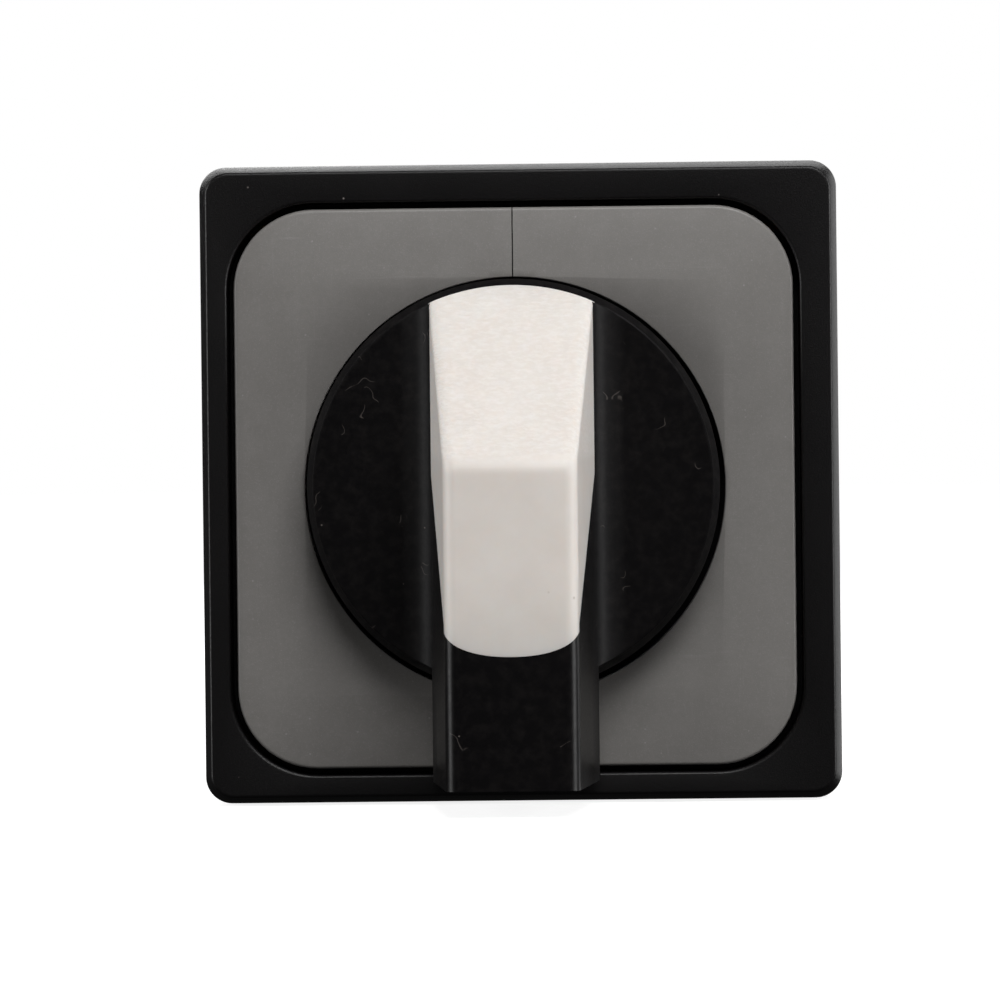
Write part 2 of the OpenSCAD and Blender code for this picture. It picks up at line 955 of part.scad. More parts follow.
module rear_cover() {
    color([0.24, 0.24, 0.25])
    difference() {
        slab(rear_y, rear_y + rear_t)
            polygon(rounded_points(body_w, body_h, body_corner_r, 3));
        rod(journal_r + run_clear, rear_y - overcut, rear_y + journal_l + 0.1);
        four_corners()
            rod(tie_hole_r, rear_y - overcut, rear_y + rear_t + overcut, tie_x, tie_z);
    }
}

module tie_screws() {
    head_y = rear_y + rear_t;
    color("silver")
    four_corners()
        difference() {
            union() {
                rod(tie_d / 2, tie_tip_y, head_y + overcut, tie_x, tie_z);
                rod(tie_head_r, head_y, head_y + tie_head_h, tie_x, tie_z);
            }
            for (turn = [0, 90])
                translate([tie_x, 0, tie_z])
                    rotate([0, turn, 0])
                        block(
                            [-tie_head_r * 0.6, head_y + tie_head_h - slot_depth, -slot_w / 2],
                            [tie_head_r * 0.6, head_y + tie_head_h + overcut, slot_w / 2]
                        );
        }
}

bezel();
front_plate();
panel_gasket();
knob_body();
pointer_insert();
knob_screw();
shaft_seal();
drive_shaft();
latch_housing();
threaded_inserts();
thrust_washer();
detent_wheel();
stop_plate();
latch_cover();
rear_cover();
tie_screws();
for (side = SIDES)
    detent_spring(side);
for (n = [1 : stage_count]) {
    stage_housing(n);
    stage_cam(n);
    stage_contacts(n);
    stage_clamps(n);
    stage_terminal_screws(n);
    for (side = SIDES) {
        plunger(n, side);
        bridge(n, side);
        contact_spring(n, side);
    }
}
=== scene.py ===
"""Looks of the manual changeover switch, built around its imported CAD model.

Lengths in the mesh code are in millimetres, in the frame of the CAD model: X to the right, Z up and
-Y towards the camera. Each mesh is brought to metres when it becomes a Blender object.
"""

import json
import math

import bmesh
import bpy
from mathutils import Matrix, Vector


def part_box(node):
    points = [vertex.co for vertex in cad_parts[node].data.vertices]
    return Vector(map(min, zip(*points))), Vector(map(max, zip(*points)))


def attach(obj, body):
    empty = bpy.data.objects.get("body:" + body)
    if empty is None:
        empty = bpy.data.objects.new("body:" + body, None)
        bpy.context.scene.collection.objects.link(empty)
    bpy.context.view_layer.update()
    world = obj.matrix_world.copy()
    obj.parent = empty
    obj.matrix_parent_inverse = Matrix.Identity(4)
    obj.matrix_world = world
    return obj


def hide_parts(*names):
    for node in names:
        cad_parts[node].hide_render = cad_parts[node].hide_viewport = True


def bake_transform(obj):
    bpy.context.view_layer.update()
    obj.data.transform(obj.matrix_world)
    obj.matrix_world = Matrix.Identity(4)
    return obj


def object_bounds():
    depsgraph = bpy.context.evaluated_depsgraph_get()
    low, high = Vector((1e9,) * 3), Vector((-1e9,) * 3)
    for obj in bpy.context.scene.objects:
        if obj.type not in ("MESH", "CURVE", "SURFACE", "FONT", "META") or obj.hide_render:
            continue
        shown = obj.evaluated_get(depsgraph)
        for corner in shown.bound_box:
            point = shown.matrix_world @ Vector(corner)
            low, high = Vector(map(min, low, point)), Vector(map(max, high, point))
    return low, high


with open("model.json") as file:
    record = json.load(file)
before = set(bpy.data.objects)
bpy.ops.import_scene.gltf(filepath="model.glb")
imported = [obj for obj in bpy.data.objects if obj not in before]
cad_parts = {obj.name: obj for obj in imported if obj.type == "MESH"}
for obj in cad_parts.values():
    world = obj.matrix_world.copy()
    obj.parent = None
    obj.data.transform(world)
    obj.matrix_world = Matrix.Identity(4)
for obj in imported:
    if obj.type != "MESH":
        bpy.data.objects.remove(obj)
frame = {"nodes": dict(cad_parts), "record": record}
cad_low, cad_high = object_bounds()
NODES = frame["nodes"]
RECORD = frame["record"]
SLOT_OF = {part["node"]: part["material_slot"] for part in RECORD["subparts"]}
BODY_OF = {
    node: body for body, members in RECORD["behaviour"]["bodies"].items() for node in members
}
MM = 0.001
SCENE = bpy.context.scene


def node_box(node):
    """The lowest and highest corners of a CAD node, in millimetres."""
    low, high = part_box(node)
    return low / MM, high / MM


# ---- Sizes, read from the frame where it has them ----

BEZEL_LOW, BEZEL_HIGH = node_box("bezel")
PLATE_LOW, PLATE_HIGH = node_box("front_plate")
KNOB_LOW, KNOB_HIGH = node_box("knob_body")
INSERT_LOW, INSERT_HIGH = node_box("pointer_insert")
GASKET_LOW, GASKET_HIGH = node_box("panel_gasket")
_, SEAL_HIGH = node_box("shaft_seal")
SHAFT_LOW, SHAFT_HIGH = node_box("drive_shaft")

FRONT_SIZE = BEZEL_HIGH.x - BEZEL_LOW.x
FRONT_SHIFT = (BEZEL_HIGH + BEZEL_LOW) / 2
FRONT_R = 2.0
BEZEL_FRONT = BEZEL_LOW.y
BEZEL_REAR = -0.3
TUBE_END = BEZEL_HIGH.y  # back end of the tube that the knob's hub turns in
TUBE_WALL = 2.45
FLOOR = PLATE_HIGH.y  # front of the bezel's floor, which the plate stands on
POCKET = GASKET_LOW.y  # bottom of the gasket's pocket in the bezel's back
PLATE_SIZE = PLATE_HIGH.x - PLATE_LOW.x
PLATE_SHIFT = (PLATE_HIGH + PLATE_LOW) / 2
PLATE_R = 6.05
PLATE_GAP = 0.5
PLATE_FACE = PLATE_LOW.y
PLATE_T = 1.6
DISC_R = KNOB_HIGH.x
RIM_R = DISC_R - 0.5
OPENING_R = DISC_R + 0.4
DISC_FACE = INSERT_HIGH.y
DISC_BACK = FLOOR - 0.6
RIDGE = KNOB_LOW.y  # front of the handle
HANDLE_H = DISC_FACE - RIDGE
TAIL = PLATE_FACE - 1.2  # back of the handle's tail
TAIL_REACH = -KNOB_LOW.z
CREST_Z = 1.8  # where the handle's slope meets its level ridge
BASE_HALF = 6.2  # half the handle's width at the disc
RIDGE_HALF = 4.8  # and at the ridge
SIDE_SLOPE = (BASE_HALF - RIDGE_HALF) / HANDLE_H
TONGUE_REACH = -INSERT_LOW.z
TONGUE_T = 1.2
INSERT_FOOT_Z = 2.0
TONGUE_DEPTH = 2.3
INSERT_TOP_Z = TONGUE_DEPTH - TONGUE_REACH
HUB_END = KNOB_HIGH.y
HUB_R = SEAL_HIGH.x
HOLE_REACH = 18.0
HOLE_R = 2.1
SHAFT_HALF = SHAFT_HIGH.x + 0.05


# ---- Node materials ----


class Nodes:
    """Adds nodes to a new material, with few words."""

    def __init__(self, name):
        self.material = bpy.data.materials.new(name)
        self.material.use_nodes = True
        self.tree = self.material.node_tree
        self.shader = self.tree.nodes["Principled BSDF"]
        self.place = self.add("ShaderNodeTexCoord").outputs["Object"]

    def add(self, kind, settings=None, **inputs):
        node = self.tree.nodes.new(kind)
        for key, value in (settings or {}).items():
            setattr(node, key, value)
        for key, value in inputs.items():
            self.set(node.inputs[key.replace("_", " ")], value)
        return node

    def set(self, socket, value):
        if isinstance(value, bpy.types.NodeSocket):
            self.tree.links.new(value, socket)
        else:
            socket.default_value = value

    def finish(self, **values):
        for key, value in values.items():
            self.set(self.shader.inputs[key.replace("_", " ")], value)
        return self.material

    def noise(self, size_mm, detail=2.0, roughness=0.5, stretch=(1, 1, 1)):
        """Noise whose blobs are about size_mm across."""
        mapping = self.add("ShaderNodeMapping", Vector=self.place, Scale=stretch)
        node = self.add(
            "ShaderNodeTexNoise",
            Vector=mapping.outputs["Vector"],
            Scale=1 / (size_mm * MM),
            Detail=detail,
            Roughness=roughness,
        )
        return node.outputs["Fac"]

    def ramp(self, value, low, high, out_low=0.0, out_high=1.0):
        node = self.add(
            "ShaderNodeMapRange",
            Value=value,
            From_Min=low,
            From_Max=high,
            To_Min=out_low,
            To_Max=out_high,
        )
        return node.outputs["Result"]

    def mix(self, factor, a, b):
        node = self.add("ShaderNodeMix", {"data_type": "RGBA"})
        self.set(node.inputs[0], factor)
        self.set(node.inputs[6], a)
        self.set(node.inputs[7], b)
        return node.outputs[2]

    def math(self, operation, a, b=0.0):
        node = self.add("ShaderNodeMath", {"operation": operation})
        self.set(node.inputs[0], a)
        self.set(node.inputs[1], b)
        return node.outputs[0]

    def bump(self, height, strength, distance_mm, normal=None):
        node = self.add(
            "ShaderNodeBump", Height=height, Strength=strength, Distance=distance_mm * MM
        )
        if normal is not None:
            self.set(node.inputs["Normal"], normal)
        return node.outputs["Normal"]

    def fibres(self, size_mm, rarity):
        """1 on a few thin curved hairs: contour lines of a noise, in patches of another."""
        bend = self.noise(size_mm, 1)
        off = self.math("ABSOLUTE", self.math("SUBTRACT", bend, 0.5))
        patch = self.ramp(self.noise(size_mm * 1.7, 1, 0.5, (1.1, 0.9, 1.0)), rarity, rarity + 0.03)
        return self.math("MULTIPLY", self.ramp(off, 0.012, 0.004), patch)

    def specks(self, pitch_mm, share):
        """1 on small round specks, one to each cell of pitch_mm, on a share of the cells."""
        cells = self.add(
            "ShaderNodeTexVoronoi",
            Vector=self.place,
            Scale=1 / (pitch_mm * MM),
            Randomness=1.0,
        )
        chosen = self.math("LESS_THAN", self.add(
            "ShaderNodeSeparateColor", Color=cells.outputs["Color"]
        ).outputs[0], share)
        near = self.ramp(cells.outputs["Distance"], 0.16, 0.06)
        return self.math("MULTIPLY", chosen, near)


def grey(value, warm=0.0):
    return (value * (1 + warm), value, value * (1 - warm), 1)


def moulded_plastic(name, colour, roughness, grain_mm, grain, dust):
    """Matte plastic from a textured mould, with a few specks of dust."""
    n = Nodes(name)
    cloud = n.noise(6, 3)
    fine = n.noise(grain_mm, 2, 0.6)
    dark = tuple(c * 0.82 for c in colour[:3]) + (1,)
    light = tuple(c * 1.2 for c in colour[:3]) + (1,)
    base = n.mix(n.ramp(cloud, 0.3, 0.7), dark, light)
    pale = tuple(c * 1.8 + 0.002 for c in colour[:3]) + (1,)
    base = n.mix(n.ramp(fine, 0.55, 0.75, 0.0, 0.5), base, pale)
    if dust:
        base = n.mix(n.specks(0.6, dust), base, (0.20, 0.18, 0.17, 1))
    return n.finish(
        Base_Color=base,
        Roughness=n.ramp(fine, 0.3, 0.7, roughness - 0.06, roughness + 0.08),
        Specular_IOR_Level=0.35,
        Normal=n.bump(fine, grain, grain_mm * 0.25),
    )


def plate_material():
    """Satin grey plastic: a fine grain and faint scratches, with painted light: the right half is
    painted a little lighter than the left, as if it caught more light.
    """
    n = Nodes("plate_grey")
    grain = n.noise(0.10, 2, 0.6)
    blotch = n.noise(0.32, 3, 0.6)
    mottle = n.noise(2.2, 4, 0.6)
    level = n.noise(0.35, 3, 0.5, (0.06, 1, 1))
    upright = n.noise(0.35, 3, 0.5, (1, 1, 0.06))
    lines = n.math("MAXIMUM", n.ramp(level, 0.64, 0.78), n.ramp(upright, 0.64, 0.78))
    across = n.add("ShaderNodeSeparateXYZ", Vector=n.place).outputs["X"]
    base = n.mix(n.ramp(mottle, 0.3, 0.7), grey(0.196, 0.05), grey(0.218, 0.045))
    base = n.mix(n.ramp(blotch, 0.35, 0.65, 0.0, 0.35), base, grey(0.176, 0.045))
    # Painted light: right of the seam the plate is painted a little lighter, as if that half caught
    # more light.
    base = n.mix(n.ramp(across, -0.1 * MM, 0.1 * MM, 0.0, 0.12), base, grey(0.25, 0.04))
    base = n.mix(n.math("MULTIPLY", lines, 0.14), base, grey(0.32, 0.03))
    base = n.mix(n.ramp(grain, 0.56, 0.70, 0.0, 0.5), base, grey(0.29, 0.03))
    base = n.mix(n.math("MULTIPLY", n.specks(0.6, 0.05), 0.6), base, grey(0.36, 0.03))
    relief = n.math("ADD", grain, n.math("MULTIPLY", lines, 0.5))
    return n.finish(
        Base_Color=base,
        Roughness=n.ramp(blotch, 0.3, 0.7, 0.36, 0.46),
        Normal=n.bump(relief, 0.35, 0.02),
    )


def knob_material():
    """Satin black plastic with slight ripple, dust and lint, rougher on the rim and by the handle."""
    n = Nodes("knob_black")
    ripple = n.noise(3.0, 1)
    fine = n.noise(0.2, 2)
    dust = n.math("MULTIPLY", n.specks(0.55, 0.010), 0.8)
    lint = n.math("MULTIPLY", n.fibres(1.6, 0.66), 0.35)
    film = n.ramp(n.noise(0.9, 4, 0.7), 0.45, 0.8, 0.0, 0.05)
    marks = n.math("MAXIMUM", n.math("MAXIMUM", dust, lint), film)
    place = n.add("ShaderNodeSeparateXYZ", Vector=n.place).outputs
    flat = n.add("ShaderNodeCombineXYZ", X=place["X"], Z=place["Z"]).outputs["Vector"]
    radius = n.add("ShaderNodeVectorMath", {"operation": "LENGTH"}, Vector=flat).outputs["Value"]
    rim = n.ramp(radius, (RIM_R - 0.05) * MM, (RIM_R + 0.05) * MM)
    above_tail = n.ramp(place["Z"], -13.5 * MM, -13.1 * MM)
    rim = n.math("MULTIPLY", rim, above_tail)
    aside = n.math("ABSOLUTE", place["X"])
    foot = n.ramp(aside, (BASE_HALF - 0.5) * MM, (BASE_HALF + 0.1) * MM)
    foot = n.math("MULTIPLY", foot, n.ramp(aside, (BASE_HALF + 2.2) * MM, (BASE_HALF + 1.2) * MM))
    soft = n.math("MAXIMUM", rim, foot)
    rough = n.math("ADD", n.ramp(fine, 0.3, 0.7, 0.32, 0.39), n.math("MULTIPLY", soft, 0.24))
    return n.finish(
        Base_Color=n.mix(marks, (0.0024, 0.0020, 0.0024, 1), (0.16, 0.14, 0.13, 1)),
        Roughness=rough,
        Specular_IOR_Level=n.ramp(rim, 0.0, 1.0, 0.22, 0.10),
        Normal=n.bump(ripple, 0.08, 0.05, n.bump(fine, 0.05, 0.01)),
    )


def insert_material():
    """White plastic: finely rippled on the slope above the crest and smooth below it, with painted
    highlights on the slope's ripples.
    """
    n = Nodes("insert_white")
    height = n.add("ShaderNodeSeparateXYZ", Vector=n.place).outputs["Z"]
    on_slope = n.ramp(height, (CREST_Z - 0.3) * MM, (CREST_Z + 0.6) * MM)
    ripple = n.noise(0.34, 2, 0.6, (0.55, 1, 1.2))
    fine = n.noise(0.12, 2)
    stain = n.ramp(n.noise(3.5, 3, 0.6), 0.35, 0.7)
    base = n.mix(stain, (0.845, 0.785, 0.732, 1), (0.880, 0.826, 0.778, 1))
    # Painted highlights: the ripple's crests on the slope are painted paler, as glints of light.
    painted_glints = n.math("MULTIPLY", n.ramp(ripple, 0.42, 0.68, 0.0, 0.45), on_slope)
    base = n.mix(painted_glints, base, (0.97, 0.93, 0.90, 1))
    base = n.mix(n.math("MULTIPLY", n.specks(0.9, 0.02), 0.5), base, (0.42, 0.35, 0.28, 1))
    rough = n.math("ADD", n.math("MULTIPLY", on_slope, 0.06), n.ramp(fine, 0.3, 0.7, 0.40, 0.46))
    relief = n.math("MULTIPLY", ripple, on_slope)
    return n.finish(
        Base_Color=base,
        Roughness=rough,
        Specular_IOR_Level=0.4,
        Subsurface_Weight=0.35,
        Subsurface_Radius=(0.0016, 0.0013, 0.0011),
        Subsurface_Scale=1.0,
        Normal=n.bump(relief, 1.0, 0.09, n.bump(fine, 0.05, 0.01)),
    )


def metal(name, colour, roughness, brush=(1, 1, 1), tarnish=0.15):
    """Brushed or plated metal, with brush marks along an axis and faint tarnish."""
    n = Nodes(name)
    marks = n.noise(0.1, 3, 0.6, brush)
    cloud = n.ramp(n.noise(1.6, 3), 0.35, 0.7, 0.0, tarnish)
    dark = tuple(c * 0.55 for c in colour[:3]) + (1,)
    return n.finish(
        Base_Color=n.mix(cloud, colour, dark),
        Metallic=1.0,
        Roughness=n.ramp(marks, 0.3, 0.7, roughness - 0.07, roughness + 0.1),
        Normal=n.bump(marks, 0.15, 0.01),
    )


def rubber_material():
    n = Nodes("seal_rubber")
    fine = n.noise(0.18, 3)
    return n.finish(
        Base_Color=n.mix(n.ramp(fine, 0.3, 0.7), grey(0.012), grey(0.022)),
        Roughness=n.ramp(fine, 0.3, 0.7, 0.62, 0.8),
        Normal=n.bump(fine, 0.3, 0.03),
    )


def floor_material():
    """Pale, and bright by itself, most of all further off, as a lit studio sweep is."""
    n = Nodes("floor_pale")
    away = n.add("ShaderNodeVectorMath", {"operation": "LENGTH"}, Vector=n.place).outputs["Value"]
    return n.finish(
        Base_Color=n.mix(n.noise(60, 2), grey(0.58), grey(0.62)),
        Roughness=0.8,
        Specular_IOR_Level=0.0,
        Emission_Color=(1, 1, 1, 1),
        Emission_Strength=n.ramp(away, 0.08, 0.5, 0.85, 1.0),
    )


MATERIALS = {
    "bezel_black": moulded_plastic("bezel_black", (0.0036, 0.0031, 0.0034), 0.38, 0.10, 0.5, 0.012),
    "plate_grey": plate_material(),
    "knob_black": knob_material(),
    "insert_white": insert_material(),
    "body_black": moulded_plastic("body_black", (0.016, 0.016, 0.017), 0.50, 0.16, 0.4, 0.01),
    "stage_grey": moulded_plastic("stage_grey", (0.045, 0.045, 0.047), 0.48, 0.18, 0.35, 0.0),
    "cam_white": moulded_plastic("cam_white", (0.68, 0.64, 0.55), 0.42, 0.2, 0.15, 0.0),
    "seal_rubber": rubber_material(),
    "zinc_steel": metal("zinc_steel", (0.60, 0.60, 0.585, 1), 0.30, (1, 0.1, 1)),
    "spring_steel": metal("spring_steel", (0.50, 0.51, 0.53, 1), 0.25),
    "brass": metal("brass", (0.72, 0.50, 0.20, 1), 0.28, (0.15, 1, 0.15)),
    "contact_copper": metal("contact_copper", (0.80, 0.42, 0.24, 1), 0.30, (1, 1, 0.1), 0.3),
}


# ---- Mesh helpers ----


def new_object(name, mesh):
    piece = bpy.data.objects.new(name, mesh)
    SCENE.collection.objects.link(piece)
    return piece


def from_bmesh(name, bm):
    mesh = bpy.data.meshes.new(name)
    bmesh.ops.recalc_face_normals(bm, faces=bm.faces)
    bm.to_mesh(mesh)
    bm.free()
    return new_object(name, mesh)


def apply_modifiers(piece):
    """Bakes the modifiers into the mesh."""
    graph = bpy.context.evaluated_depsgraph_get()
    graph.update()
    mesh = bpy.data.meshes.new_from_object(piece.evaluated_get(graph))
    piece.modifiers.clear()
    old = piece.data
    piece.data = mesh
    bpy.data.meshes.remove(old)
    return piece


def combine(operation, piece, *others):
    """Booleans between a piece and others, which are used up."""
    for other in others:
        modifier = piece.modifiers.new("combine", "BOOLEAN")
        modifier.operation = operation
        modifier.object = other
        modifier.solver = "EXACT"
        apply_modifiers(piece)
        bpy.data.objects.remove(other)
    return piece


def round_edges(piece, width, angle, segments):
    modifier = piece.modifiers.new("round", "BEVEL")
    modifier.width = width
    modifier.segments = segments
    modifier.limit_method = "ANGLE"
    modifier.angle_limit = math.radians(angle)
    return apply_modifiers(piece)


def loft(name, loops, close_ends=False, close_loft=False):
    """A skin through closed loops that all have as many points."""
    bm = bmesh.new()
    rings = [[bm.verts.new(p) for p in loop] for loop in loops]
    pairs = list(zip(rings, rings[1:]))
    if close_loft:
        pairs.append((rings[-1], rings[0]))
    for a, b in pairs:
        for i in range(len(a)):
            j = (i + 1) % len(a)
            bm.faces.new((a[i], a[j], b[j], b[i]))
    if close_ends:
        bm.faces.new(rings[0])
        bm.faces.new(rings[-1])
    return from_bmesh(name, bm)


def along_y(name, outline, y0, y1):
    """A prism from an outline in X and Z."""
    return loft(name, [[Vector((x, y, z)) for x, z in outline] for y in (y0, y1)], close_ends=True)


def along_x(name, outline, x0, x1):
    """A prism from an outline in Y and Z."""
    return loft(name, [[Vector((x, y, z)) for y, z in outline] for x in (x0, x1)], close_ends=True)


def along_z(name, outline, z0, z1):
    """A prism from an outline in X and Y."""
    return loft(name, [[Vector((x, y, z)) for x, y in outline] for z in (z0, z1)], close_ends=True)


def circle(r, x=0.0, z=0.0, sides=128):
    return [
        (x + r * math.cos(math.tau * i / sides), z + r * math.sin(math.tau * i / sides))
        for i in range(sides)
    ]


def rod(name, r, y0, y1, x=0.0, z=0.0, sides=128):
    """A cylinder along Y."""
    return along_y(name, circle(r, x, z, sides), y0, y1)


def block(name, low, high):
    outline = [(low[0], low[2]), (high[0], low[2]), (high[0], high[2]), (low[0], high[2])]
    return along_y(name, outline, low[1], high[1])


def revolve(name, profile, sides=160):
    """A solid of revolution about Y, from (radius, level) points, closed by flat ends."""
    loops = [[Vector((x, y, z)) for x, z in circle(r, sides=sides)] for r, y in profile]
    return loft(name, loops, close_ends=True)


def square_loop(size, r, y, shift=(0, 0), corner_steps=14, side_steps=12):
    """A loop round a square with rounded corners, with points along its sides too."""
    reach = size / 2 - r
    arc = []
    for i in range(corner_steps + 1):
        a = math.radians(90 * i / corner_steps)
        arc.append((reach + r * math.cos(a), reach + r * math.sin(a)))
    last = math.atan2(arc[-1][1], arc[-1][0])
    span = 2 * (last - math.pi / 2)
    for i in range(1, side_steps):
        a = last - span * i / side_steps
        arc.append((size / 2 / math.tan(a), size / 2))
    loop = []
    for turn in range(4):
        c, s = round(math.cos(math.pi / 2 * turn)), round(math.sin(math.pi / 2 * turn))
        for x, z in arc:
            loop.append(Vector((c * x - s * z + shift[0], y, s * x + c * z + shift[1])))
    return loop


def circle_like(loop, r, y):
    """A circle with its points at the same angles as a loop's."""
    return [Vector((r * p.x / math.hypot(p.x, p.z), y, r * p.z / math.hypot(p.x, p.z))) for p in loop]


def quarter(steps):
    """The sine and cosine at each step of a quarter turn."""
    return [
        (math.sin(math.pi / 2 * i / steps), math.cos(math.pi / 2 * i / steps))
        for i in range(steps + 1)
    ]


def stand_for(piece, node):
    """Gives a piece a CAD node's material, and hides the node."""
    piece.data.materials.clear()
    piece.data.materials.append(MATERIALS[SLOT_OF[node]])
    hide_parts(node)


def finish_piece(piece, node, smooth=35, even=False):
    """Brings a mesh to metres, smooths it, and makes it stand for a CAD node.

    With even, large flat faces keep their own direction, and only the roundings are shaded softly.
    """
    piece.data.transform(Matrix.Scale(MM, 4))
    for polygon in piece.data.polygons:
        polygon.use_smooth = True
    piece.data.set_sharp_from_angle(angle=math.radians(smooth))
    if even:
        modifier = piece.modifiers.new("even", "WEIGHTED_NORMAL")
        modifier.keep_sharp = True
        apply_modifiers(piece)
    stand_for(piece, node)
    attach(piece, BODY_OF[node])
    return piece


# ---- Front pieces ----


def make_bezel():
    """The square bezel: a soft front edge, a recess, screw holes and the bearing tube."""
    lip, pocket_r = 0.2, 0.2
    recess = PLATE_SIZE + 2 * PLATE_GAP
    recess_r = PLATE_R + PLATE_GAP
    pocket = 2 * GASKET_HIGH.x + 0.2
    bore_r = HUB_R + 0.05
    tube_r = bore_r + TUBE_WALL
    shift = (FRONT_SHIFT.x, FRONT_SHIFT.z)
    plate_shift = (PLATE_SHIFT.x, PLATE_SHIFT.z)
    loops = [square_loop(FRONT_SIZE, FRONT_R, BEZEL_REAR, shift)]
    # How far in from the outline and back from the front each loop of the edge lies
    edge = [(0, 1.3), (0.02, 1.18), (0.07, 1.05), (0.46, 0.14), (0.53, 0.04), (0.62, 0), (0.72, 0)]
    for inset, back in edge:
        loops.append(
            square_loop(FRONT_SIZE - 2 * inset, FRONT_R - 0.6 * inset, BEZEL_FRONT + back, shift)
        )
    for s, c in quarter(4):
        size = recess + 2 * lip * (1 - s)
        loops.append(square_loop(size, recess_r, BEZEL_FRONT + lip * (1 - c), plate_shift))
    floor_loop = square_loop(recess, recess_r, FLOOR, plate_shift)
    loops += [
        floor_loop,
        circle_like(floor_loop, bore_r, FLOOR),
        circle_like(floor_loop, bore_r, TUBE_END),
        circle_like(floor_loop, tube_r, TUBE_END),
        circle_like(floor_loop, tube_r, POCKET),
        square_loop(pocket, pocket_r, POCKET),
        square_loop(pocket, pocket_r, BEZEL_REAR),
    ]
    piece = loft("bezel_shell", loops, close_loft=True)
    holes = [
        rod("hole", HOLE_R, FLOOR - 1, POCKET + 1, sx * HOLE_REACH, sz * HOLE_REACH, 48)
        for sx in (-1, 1)
        for sz in (-1, 1)
    ]
    return finish_piece(combine("DIFFERENCE", piece, *holes), "bezel", 40)


def make_plate():
    """The grey plate: a slightly bevelled border, a soft edge, a round opening and a seam."""
    border, drop, edge, lip = 5.2, 0.42, 0.28, 0.12
    lap, seam_half = 0.4, 0.045
    face = PLATE_FACE
    back = face + PLATE_T
    inner_r = 2.2
    loops = [square_loop(PLATE_SIZE - 2 * border, inner_r, face)]
    for i in range(1, 11):
        share = i / 11
        size = PLATE_SIZE - 2 * border + 2 * (border - edge) * share
        r = inner_r + (PLATE_R - inner_r - edge) * share
        loops.append(square_loop(size, r, face + drop * (0.7 * share + 0.3 * share**3)))
    for s, c in quarter(6):
        inset = edge * (1 - s)
        loops.append(
            square_loop(PLATE_SIZE - 2 * inset, PLATE_R - inset, face + drop + edge * (1 - c))
        )
    loops.append(square_loop(PLATE_SIZE, PLATE_R, back))
    piece = loft("plate_face", loops, close_ends=True)
    out, thick, half = PLATE_SIZE / 2 - 0.6, 1.2, 10
    skirts = [
        block("skirt", (out - thick, back - lap, -half), (out, FLOOR, half)),
        block("skirt", (-out, back - lap, -half), (-out + thick, FLOOR, half)),
        block("skirt", (-half, back - lap, out - thick), (half, FLOOR, out)),
        block("skirt", (-half, back - lap, -out), (half, FLOOR, -out + thick)),
    ]
    combine("UNION", piece, *skirts)
    opening = revolve(
        "opening",
        [
            (OPENING_R + lip + 0.5, face - 0.5),
            (OPENING_R + lip, face),
            (OPENING_R + 0.3 * lip, face + 0.3 * lip),
            (OPENING_R, face + lip),
            (OPENING_R, FLOOR + 1),
        ],
    )
    seam = block("seam", (-seam_half, face - 1, 0), (seam_half, FLOOR + 1, FRONT_SIZE))
    combine("DIFFERENCE", piece, opening, seam)
    piece.data.transform(Matrix.Translation((PLATE_SHIFT.x, 0, PLATE_SHIFT.z)))
    return finish_piece(piece, "front_plate", 32)


def soft_min(a, b, blend):
    """The lower of two heights, with the corner between them rounded off."""
    over = max(blend - abs(a - b), 0)
    return min(a, b) - over * over / (4 * blend)


def handle_height(z):
    """Height of the handle above the disc: up a slope to the crest, and then level."""
    foot, crest_blend = 0.3, 0.9
    slope = (HANDLE_H - foot) / (RIM_R - CREST_Z)
    return soft_min(foot + slope * (RIM_R - z), HANDLE_H, crest_blend)


def handle_outline(z):
    """Cross-section of the handle at z, with its upper corners rounded."""
    height = handle_height(z)
    steps = 8
    r = min(1.0, 0.45 * height + 0.02)
    top = DISC_FACE - height
    tilt = math.atan(SIDE_SLOPE)
    half_top = BASE_HALF - SIDE_SLOPE * height
    cx = half_top - r * math.tan(math.pi / 4 - tilt / 2)
    cy = top + r
    right = [(BASE_HALF, TAIL), (BASE_HALF, DISC_FACE)]
    for i in range(steps + 1):
        a = -tilt + (math.pi / 2 + tilt) * i / steps
        right.append((cx + r * math.cos(a), cy - r * math.sin(a)))
    return right + [(-x, y) for x, y in reversed(right)]


def make_handle_form():
    """The whole handle, black and white together."""
    stations = [-TAIL_REACH, -18, -12, -6, -2, 0]
    stations += [CREST_Z - 1.6 + 0.2 * i for i in range(17)]
    stations += [4.5, 7, 9.5, 12, 13.5, 14.4, 15.0, 15.4]
    loops = [
        [Vector((x, y, z)) for x, y in handle_outline(z)] for z in sorted(set(stations))
    ]
    form = loft("handle_form", loops, close_ends=True)
    steps = 40
    rim = [
        (RIM_R * math.sin(math.radians(-40 + 2 * i)), RIM_R * math.cos(math.radians(-40 + 2 * i)))
        for i in range(steps + 1)
    ]
    beyond = along_y("beyond", rim + [(12, 25), (-12, 25)], RIDGE - 2, TAIL + 2)
    return combine("DIFFERENCE", form, beyond)


def tongue_outline():
    """The insert's lower end, seen from the front: nearly an ellipse."""
    power, half, steps = 2.2, RIDGE_HALF + 0.2, 32
    points = []
    for i in range(steps + 1):
        across = math.cos(math.pi * i / steps)
        drop = max(0, 1 - abs(across) ** power) ** (1 / power)
        points.append((half * across, INSERT_TOP_Z - TONGUE_DEPTH * drop))
    return points + [(-half, 0), (half, 0)]


def make_insert_zone():
    """The space that the white insert takes up in the handle."""
    past_rim, past_side = 20, 9
    outline = [
        (DISC_FACE, past_rim),
        (DISC_FACE, INSERT_FOOT_Z),
        (RIDGE + TONGUE_T, INSERT_TOP_Z),
        (RIDGE - 2, INSERT_TOP_Z),
        (RIDGE - 2, past_rim),
    ]
    wedge = along_x("insert_zone", outline, -past_side, past_side)
    tongue = along_y("tongue", tongue_outline(), RIDGE - 1, RIDGE + TONGUE_T)
    return combine("UNION", wedge, tongue)


